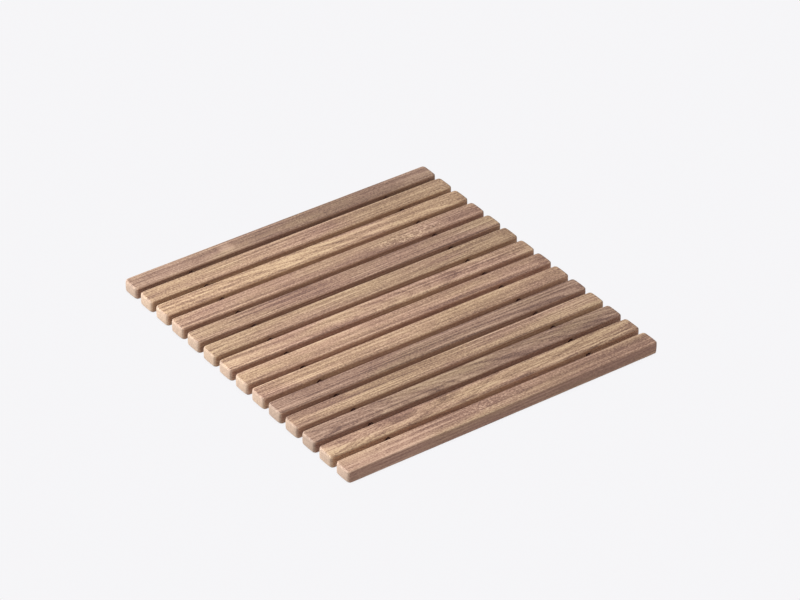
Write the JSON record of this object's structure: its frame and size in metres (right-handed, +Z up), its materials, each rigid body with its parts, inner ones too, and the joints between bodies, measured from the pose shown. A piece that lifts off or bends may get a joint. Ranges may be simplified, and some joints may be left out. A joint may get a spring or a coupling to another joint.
{
  "type": "bath mat",
  "caption": "Roll-up wooden bath mat: parallel slats with rounded edges, evenly spaced, threaded on two flexible cords hidden in bores at mid-thickness.",
  "frame": {"origin": "on the ground, under the middle of the mat lying flat", "axes": "+X across the slats, from slat_01 to slat_14; +Y along the slats; +Z up"},
  "size_m": [0.524, 0.5, 0.018],
  "materials": {
    "wood_01": "oiled, satin",
    "wood_02": "oiled, satin",
    "wood_03": "oiled, satin",
    "wood_04": "oiled, satin",
    "wood_05": "oiled, satin",
    "wood_06": "oiled, satin",
    "wood_07": "oiled, satin",
    "wood_08": "oiled, satin",
    "wood_09": "oiled, satin",
    "wood_10": "oiled, satin",
    "wood_11": "oiled, satin",
    "wood_12": "oiled, satin",
    "wood_13": "oiled, satin",
    "wood_14": "oiled, satin",
    "cord": "smooth, slightly glossy",
    "pin": "satin"
  },
  "bodies": {
    "slat_01": {"slat_01": "wood_01", "pin_first_left": "pin", "pin_first_right": "pin"},
    "slat_02": {"slat_02": "wood_02"},
    "slat_03": {"slat_03": "wood_03"},
    "slat_04": {"slat_04": "wood_04"},
    "slat_05": {"slat_05": "wood_05"},
    "slat_06": {"slat_06": "wood_06"},
    "slat_07": {"slat_07": "wood_07", "cord_left": "cord", "cord_right": "cord"},
    "slat_08": {"slat_08": "wood_08"},
    "slat_09": {"slat_09": "wood_09"},
    "slat_10": {"slat_10": "wood_10"},
    "slat_11": {"slat_11": "wood_11"},
    "slat_12": {"slat_12": "wood_12"},
    "slat_13": {"slat_13": "wood_13"},
    "slat_14": {"slat_14": "wood_14", "pin_last_left": "pin", "pin_last_right": "pin"}
  },
  "joints": [
    {"name": "hinge_01", "type": "hinge", "parent": "slat_01", "child": "slat_02", "pos_m": [-0.228, 0, 0.009], "axis": [0, -1, 0], "range_deg": [-32, 32]},
    {"name": "hinge_02", "type": "hinge", "parent": "slat_02", "child": "slat_03", "pos_m": [-0.19, 0, 0.009], "axis": [0, -1, 0], "range_deg": [-33, 33]},
    {"name": "hinge_03", "type": "hinge", "parent": "slat_03", "child": "slat_04", "pos_m": [-0.152, 0, 0.009], "axis": [0, -1, 0], "range_deg": [-34, 34]},
    {"name": "hinge_04", "type": "hinge", "parent": "slat_04", "child": "slat_05", "pos_m": [-0.114, 0, 0.009], "axis": [0, -1, 0], "range_deg": [-35, 35]},
    {"name": "hinge_05", "type": "hinge", "parent": "slat_05", "child": "slat_06", "pos_m": [-0.076, 0, 0.009], "axis": [0, -1, 0], "range_deg": [-36, 36]},
    {"name": "hinge_06", "type": "hinge", "parent": "slat_06", "child": "slat_07", "pos_m": [-0.038, 0, 0.009], "axis": [0, -1, 0], "range_deg": [-38, 38]},
    {"name": "hinge_07", "type": "hinge", "parent": "slat_07", "child": "slat_08", "pos_m": [0, 0, 0.009], "axis": [0, -1, 0], "range_deg": [-39, 39], "deforming": ["cord_left", "cord_right"]},
    {"name": "hinge_08", "type": "hinge", "parent": "slat_08", "child": "slat_09", "pos_m": [0.038, 0, 0.009], "axis": [0, -1, 0], "range_deg": [-41, 41]},
    {"name": "hinge_09", "type": "hinge", "parent": "slat_09", "child": "slat_10", "pos_m": [0.076, 0, 0.009], "axis": [0, -1, 0], "range_deg": [-43, 43]},
    {"name": "hinge_10", "type": "hinge", "parent": "slat_10", "child": "slat_11", "pos_m": [0.114, 0, 0.009], "axis": [0, -1, 0], "range_deg": [-45, 45]},
    {"name": "hinge_11", "type": "hinge", "parent": "slat_11", "child": "slat_12", "pos_m": [0.152, 0, 0.009], "axis": [0, -1, 0], "range_deg": [-48, 48]},
    {"name": "hinge_12", "type": "hinge", "parent": "slat_12", "child": "slat_13", "pos_m": [0.19, 0, 0.009], "axis": [0, -1, 0], "range_deg": [-52, 52]},
    {"name": "hinge_13", "type": "hinge", "parent": "slat_13", "child": "slat_14", "pos_m": [0.228, 0, 0.009], "axis": [0, -1, 0], "range_deg": [-52, 52]}
  ]
}
